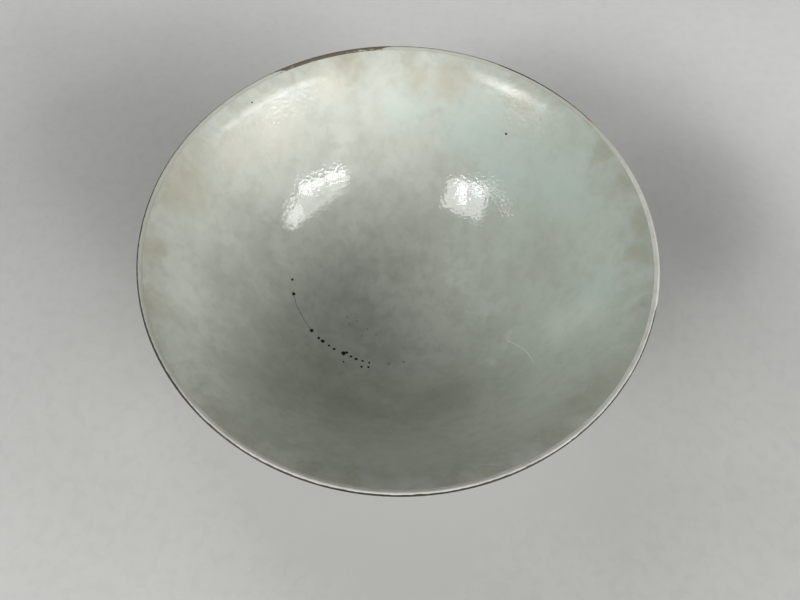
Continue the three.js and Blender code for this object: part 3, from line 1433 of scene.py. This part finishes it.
class LipStretch(Enum):
    """Where the wash reaches further over the lip than elsewhere, or less far, as sides of the bowl."""

    FAR_LEFT = Side(117, 11, 6, 0.46)
    FAR_MIDDLE = Side(104, 11, 6, 0.32)
    FAR = Side(80, 40, 25, 0.08)
    FAR_RIGHT = Side(49, 21, 13, 0.12)
    RIGHT = Side(9, 28, 22, -0.45)
    NEAR = Side(-80, 60, 40, -0.01)
    LEFT = Side(190, 55, 30, 0.08)


@dataclass(frozen=True)
class IronDressing:
    """The brown wash on the lip: streaky, thin, and rubbed through to the glaze where hands wore it; that
    glaze is painted lighter on the near and right side as painted light, where the bead faces the light.

    The wash covers a point where its level is high. The level is the share of the way over the lip, from
    the inside, plus what the stretch of the lip and two noises add.
    """

    brown: tuple = paint(56, 43, 33)
    dark: tuple = paint(24, 19, 16)
    thin: Tint = Tint(paint(104, 96, 78), 0.75)
    # Painted light: the lighter tone of the rubbed glaze on the near and right side.
    worn: tuple = paint(220, 221, 212)
    glazed: tuple = paint(186, 188, 176)
    dirt: tuple = paint(166, 157, 134)
    drawn_out: tuple = (0.4, 1.0, 1.4)
    streak_size: float = 1.6 * MM
    slow_size: float = 14 * MM
    slow_gain: float = 0.12
    far_streak: Side = Side(111, 19, 11)
    raggedness: tuple = (0.18, 0.6)
    covered_from: float = 0.33
    covered_to: tuple = (0.38, 0.46)
    thin_part: Fade = Fade(0.55, 0.3)
    # Painted light: the side where the rubbed glaze is painted lighter.
    lit_side: Side = Side(-55, 95, 65)
    dirt_clouds: Clouds = Clouds(5 * MM, 0.52, 0.12, 41.0, 0.2)
    roughness: tuple = (0.2, 0.38)
    skin: Skin = Skin(0.008, 0.02, 0.01)
    thickness: float = 0.02

    def material(self, effects: Effects) -> bpy.types.Material:
        """Builds the material.

        Args:
            effects: The shared groups.

        Returns:
            The material.
        """
        dress = Finish("iron_dressing", effects)
        recipe = dress.recipe
        across = recipe.node("Attribute", attribute_name="along_section").outputs["Fac"]
        drawn_out = recipe.vector("MULTIPLY", dress.where, self.drawn_out)
        streak = recipe.noise(drawn_out, self.streak_size, detail=4, rough=0.65)
        slow = recipe.noise(dress.where, self.slow_size)
        far_streak = dress.side(self.far_streak)
        raggedness = recipe.between(far_streak, *self.raggedness)
        level = dress.total(
            across,
            *[dress.side(stretch.value) for stretch in LipStretch],
            dress.times(recipe.sum("SUBTRACT", slow, MIDDLE_LEVEL), self.slow_gain),
            dress.times(recipe.sum("SUBTRACT", streak, MIDDLE_LEVEL), raggedness),
        )
        covered = recipe.ease(level, self.covered_from, recipe.between(far_streak, *self.covered_to))
        tone = recipe.mix(streak, self.brown, self.dark)
        thinned = dress.times(far_streak, dress.fade(across, self.thin_part), self.thin.strength)
        tone = recipe.mix(thinned, tone, self.thin.color)
        # The rubbed glaze, painted lighter on the near and right side as painted light.
        bare = recipe.mix(dress.side(self.lit_side), self.glazed, self.worn)
        soiled = recipe.mix(dress.cloud(self.dirt_clouds), bare, self.dirt)
        rough = recipe.between(covered, *self.roughness)
        height = dress.total(dress.skin(self.skin), dress.times(covered, self.thickness))
        return dress.finish(recipe.mix(covered, soiled, tone), rough, height)


@dataclass(frozen=True)
class Paste:
    """Bare fired clay: matte, with turning rings, grit, and an orange flush beside the glaze."""

    name: str
    clay: tuple = paint(219, 207, 184)
    shade: tuple = paint(196, 178, 148)
    flush: tuple = paint(186, 128, 82)
    soil: tuple = paint(120, 98, 74)
    clouds: Clouds = Clouds(6 * MM, 0.5, 0.15, 51.0)
    flush_clouds: Clouds = Clouds(5 * MM, 0.42, 0.15, 53.0, 0.7)
    worn_clouds: Clouds = Clouds(3 * MM, 0.54, 0.1, 57.0, 0.35)
    flush_height: Fade = Fade(0.7 * MM, 2.9 * MM)
    grit: Grains = Grains(1.6 * MM, 0.35 * MM, 0.6, 0.6)
    grit_height: float = 0.05
    ring_spacing: float = 0.55 * MM
    ring_height: float = 0.012
    grain_size: float = 0.5 * MM
    grain_height: float = 0.06
    roughness: tuple = (0.72, 0.92)

    def material(self, effects: Effects) -> bpy.types.Material:
        """Builds the material.

        Args:
            effects: The shared groups.

        Returns:
            The material.
        """
        dress = Finish(self.name, effects)
        recipe = dress.recipe
        color = recipe.mix(dress.cloud(self.clouds), self.clay, self.shade)
        warm = dress.times(dress.fade(dress.height(), self.flush_height), dress.cloud(self.flush_clouds))
        color = recipe.mix(warm, color, self.flush)
        grit = dress.grains(self.grit, dress.where)
        color = recipe.mix(dress.times(grit, self.grit.strength), color, self.soil)
        color = recipe.mix(dress.cloud(self.worn_clouds), color, self.soil)
        ring = recipe.sum("SINE", dress.times(dress.radius(), 2 * math.pi / self.ring_spacing))
        fine = recipe.noise(dress.where, self.grain_size, detail=3, rough=0.7)
        grain = dress.times(fine, self.grain_height)
        rough = recipe.ease(grain, 0.0, self.grain_height, *self.roughness)
        height = dress.total(dress.times(ring, self.ring_height), grain, dress.times(grit, self.grit_height))
        return dress.finish(color, rough, height)


@dataclass(frozen=True)
class TableBoard:
    """The pale board under the bowl, with painted light and shade: lighter away from the near side, away
    from the bowl and to the near left, and a greyer painted shadow at the right.
    """

    # Painted light: the board runs from this greyer tone to this lighter one as the painted light grows.
    near: tuple = paint(188, 188, 185)
    far: tuple = paint(248, 248, 245)
    fleck: tuple = paint(150, 148, 142)
    # Painted light: lighter toward the back and toward the near left, and lighter away from the bowl, which
    # is painted shade close round it.
    lit_behind_way: float = 78
    lit_behind: Fade = Fade(20 * MM, 260 * MM, 0.7)
    around: Fade = Fade(60 * MM, 300 * MM, 0.3)
    lit_near_left_way: float = 215
    lit_near_left: Fade = Fade(85 * MM, 140 * MM, 0.16)
    # Painted shadow: a greyer place on the board at the right of the bowl, where its shadow falls.
    shadow_place: tuple = (167 * MM, 84 * MM, 0.0)
    shadow_reach: float = 75 * MM
    shadow_core: float = 0.2
    shadow_strength: float = 0.25
    uneven: Clouds = Clouds(70 * MM, 0.5, 0.2, 61.0, 0.06)
    mottle: Clouds = Clouds(6 * MM, 0.55, 0.1, 63.0, 0.05)
    flecks: Grains = Grains(14 * MM, 0.5 * MM, 0.7, 0.35)
    grain_size: float = 0.8 * MM
    grain_height: float = 0.05
    roughness: tuple = (0.75, 0.9)

    def material(self, effects: Effects) -> bpy.types.Material:
        """Builds the material.

        Args:
            effects: The shared groups.

        Returns:
            The material.
        """
        dress = Finish("table_board", effects)
        recipe = dress.recipe
        lit_behind = recipe.vector("DOT_PRODUCT", dress.where, toward(self.lit_behind_way))
        lit_near_left = recipe.vector("DOT_PRODUCT", dress.where, toward(self.lit_near_left_way))
        # Painted light and shade: lighter to the back, away from the bowl and toward the near left.
        paler = dress.total(
            dress.fade(lit_behind, self.lit_behind),
            dress.fade(dress.radius(), self.around),
            dress.fade(lit_near_left, self.lit_near_left),
        )
        feeds = {"Where": dress.where, "Place": self.shadow_place}
        feeds |= {"Reach": self.shadow_reach, "Core": self.shadow_core}
        # A painted shadow at the right of the bowl, with random uneven tone and mottle.
        darker = dress.total(
            dress.times(recipe.use(effects.spot, feeds), self.shadow_strength),
            dress.cloud(self.uneven),
            dress.cloud(self.mottle),
        )
        color = recipe.mix(recipe.sum("SUBTRACT", paler, darker), self.near, self.far)
        flecks = dress.times(dress.grains(self.flecks, dress.where), self.flecks.strength)
        grain = recipe.noise(dress.where, self.grain_size, detail=3, rough=0.6)
        rough = recipe.between(grain, *self.roughness)
        height = dress.times(grain, self.grain_height)
        return dress.finish(recipe.mix(flecks, color, self.fleck), rough, height)


# Sub-assemblies


@dataclass
class Piece:
    """A finished piece, the node it stands for, the name of a slot in the record, and its material."""

    thing: bpy.types.Object
    node: str
    slot: str
    material: bpy.types.Material

    def settle(self) -> None:
        """Adds the piece to the scene and ties it to the frame."""
        bpy.context.scene.collection.objects.link(self.thing)
        self.thing.data.materials.append(self.material)
        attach(self.thing, "root")
        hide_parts(self.node)
        self.thing.data.calc_loop_triangles()
        log.info("%s stands for %s with %d triangles", self.thing.name, self.node,
                 len(self.thing.data.loop_triangles))


@dataclass
class Clay:
    """The thrown body and the foot that it stands on."""

    form: BowlForm
    effects: Effects
    body_segments: int = 192
    foot_segments: int = 320

    def build(self) -> None:
        """Makes the body and the foot."""
        body = turned_mesh("clay_body", self.form.body_section(), self.body_segments)
        Piece(body, "porcelain_body", "porcelain", Paste("porcelain_paste").material(self.effects)).settle()
        foot = turned_mesh("standing_foot", self.form.foot_section(), self.foot_segments)
        Piece(foot, "foot_ring", "biscuit", Paste("biscuit_foot").material(self.effects)).settle()


@dataclass
class Glazes:
    """The three coats of glaze."""

    form: BowlForm
    effects: Effects
    view: Viewpoint
    segments: int = 320
    pool_above_foot: float = 1.5 * MM
    outside_pool_reach: float = 4 * MM
    base_pool_reach: float = 5 * MM

    def build(self) -> None:
        """Makes the coats of the inside, the outside and the base."""
        form = self.form
        inside = turned_mesh("inside_coat", form.coat(form.inside(), 1), self.segments)
        finish = InsideGlaze().material(self.effects, form, self.view)
        Piece(inside, "inside_glaze", "clear_glaze", finish).settle()
        outside = turned_mesh("outside_coat", form.coat(form.outside(), 1), self.segments)
        outside_pool = form.foot_radius + self.pool_above_foot
        finish = PlainGlaze("outside_glaze", outside_pool, self.outside_pool_reach).material(self.effects)
        Piece(outside, "outside_glaze", "clear_glaze", finish).settle()
        base = turned_mesh("base_coat", form.coat(form.recess(), -1), self.segments)
        base_pool = form.foot_radius - form.foot_wall
        finish = PlainGlaze("base_glaze", base_pool, self.base_pool_reach).material(self.effects)
        Piece(base, "base_glaze", "clear_glaze", finish).settle()


@dataclass
class Lip:
    """The dressed lip."""

    form: BowlForm
    effects: Effects
    segments: int = 720

    def build(self) -> None:
        """Makes the dressing that caps the wall."""
        band = turned_mesh("dressed_lip", self.form.lip_section(), self.segments)
        Piece(band, "lip_band", "iron_dressing", IronDressing().material(self.effects)).settle()


# Setting


class Outline(Enum):
    """The outlines that a window can have."""

    RECTANGLE = "RECTANGLE"
    ELLIPSE = "ELLIPSE"


@dataclass(frozen=True)
class Window:
    """A soft light, by where the bowl sees it, how wide and tall it looks, and how bright its face is."""

    name: str
    azimuth: float
    elevation: float
    wide: float
    tall: float
    brightness: float
    distance: float = 1.5
    mirrored: bool = True
    roll: float = 0
    outline: Outline = Outline.RECTANGLE

    def hang(self, target: Vector) -> None:
        """Adds the light, facing the target. Its power is brightness times pi times its area.

        Args:
            target: The point that it faces.
        """
        data = bpy.data.lights.new(self.name, "AREA")
        data.shape = self.outline.value
        data.size = 2 * self.distance * math.tan(math.radians(self.wide / 2))
        data.size_y = 2 * self.distance * math.tan(math.radians(self.tall / 2))
        area = data.size * data.size_y * (math.pi / 4 if self.outline is Outline.ELLIPSE else 1)
        data.energy = self.brightness * math.pi * area
        lamp = bpy.data.objects.new(self.name, data)
        level = math.cos(math.radians(self.elevation))
        way = Vector(toward(self.azimuth)) * level + Vector((0, 0, math.sin(math.radians(self.elevation))))
        facing = way.to_track_quat("Z", "Y").to_matrix().to_4x4()
        rolled = Matrix.Rotation(math.radians(self.roll), 4, "Z")
        lamp.matrix_world = Matrix.Translation(target + way * self.distance) @ facing @ rolled
        lamp.visible_glossy = self.mirrored
        bpy.context.scene.collection.objects.link(lamp)


@dataclass
class Setting:
    """The table, the windows and the room's own light. Each window's angles are in degrees."""

    form: BowlForm
    effects: Effects
    table_half: float = 4.0
    room: tuple = paint(226, 227, 226)
    room_light: float = 0.02
    room_mirrored: float = 0.95

    def build(self) -> None:
        """Makes the table and the lights."""
        self.lay_table()
        target = Vector((0, 0, self.form.lip_middle[1]))
        for window in (
            Window("right_window_far_pane", -38, 22.5, 28, 4, 9.5, roll=-14),
            Window("right_window_near_pane", -13, 22.5, 10, 6, 5.0),
            Window("right_window_blind", -29, 25.5, 48, 13, 5.0, roll=-10, outline=Outline.ELLIPSE),
            Window("left_window_pane", -134, 31, 5, 12, 12.0, roll=34),
            Window("left_window_ledge", -140, 24, 9, 2.5, 10.0),
            Window("left_window_blind", -137.5, 33, 25, 18, 6.8, roll=20),
            Window("left_window_gap", -155, 19.5, 20, 1.2, 7.0),
            Window("left_wall_light", -143, 30, 30, 16, 3.8, mirrored=False),
            Window("low_right_light", -38, 14, 40, 14, 5.2, mirrored=False),
            Window("low_front_right_light", -50, 12, 30, 12, 4.1, mirrored=False),
            Window("front_right_light", -60, 20, 30, 16, 2.7, mirrored=False),
            Window("front_light", -110, 21, 30, 16, 2.1, mirrored=False),
            Window("back_light", 115, 20, 40, 16, 1.6, mirrored=False),
            Window("high_back_light", 120, 50, 40, 20, 0.8, mirrored=False),
        ):
            window.hang(target)
            log.info("%s hung", window.name)
        self.light_room()

    def lay_table(self) -> None:
        """Makes the table: a level square under the foot."""
        half = self.table_half
        corners = [(-half, -half, 0), (half, -half, 0), (half, half, 0), (-half, half, 0)]
        mesh = bpy.data.meshes.new("table_top")
        mesh.from_pydata(corners, [], [(0, 1, 2, 3)])
        mesh.materials.append(TableBoard().material(self.effects))
        top = bpy.data.objects.new("table_top", mesh)
        bpy.context.scene.collection.objects.link(top)

    def light_room(self) -> None:
        """Gives the world a pale face to the camera and to mirrors, and a dim even light to all else."""
        world = bpy.data.worlds.new("room")
        world.use_nodes = True
        bpy.context.scene.world = world
        recipe = Recipe(world.node_tree)
        background = world.node_tree.nodes["Background"]
        seen = recipe.node("LightPath")
        mirrored = recipe.between(seen.outputs["Is Glossy Ray"], self.room_light, self.room_mirrored)
        direct = recipe.sum("MAXIMUM", seen.outputs["Is Camera Ray"], seen.outputs["Is Transmission Ray"])
        recipe.feed(background.inputs["Color"], self.room)
        recipe.feed(background.inputs["Strength"], recipe.between(direct, mirrored, 1.0))


def main() -> None:
    """Builds the bowl and its setting in order."""
    logging.basicConfig(level=logging.INFO, format="%(message)s")
    bpy.context.scene.view_settings.view_transform = "Standard"
    form = BowlForm()
    view = Viewpoint()
    view.place(form)
    effects = Effects()
    bowl = (Clay(form, effects), Glazes(form, effects, view), Lip(form, effects))
    for assembly in (*bowl, Setting(form, effects)):
        assembly.build()
        log.info("%s built", type(assembly).__name__)


if __name__ == "__main__":
    main()
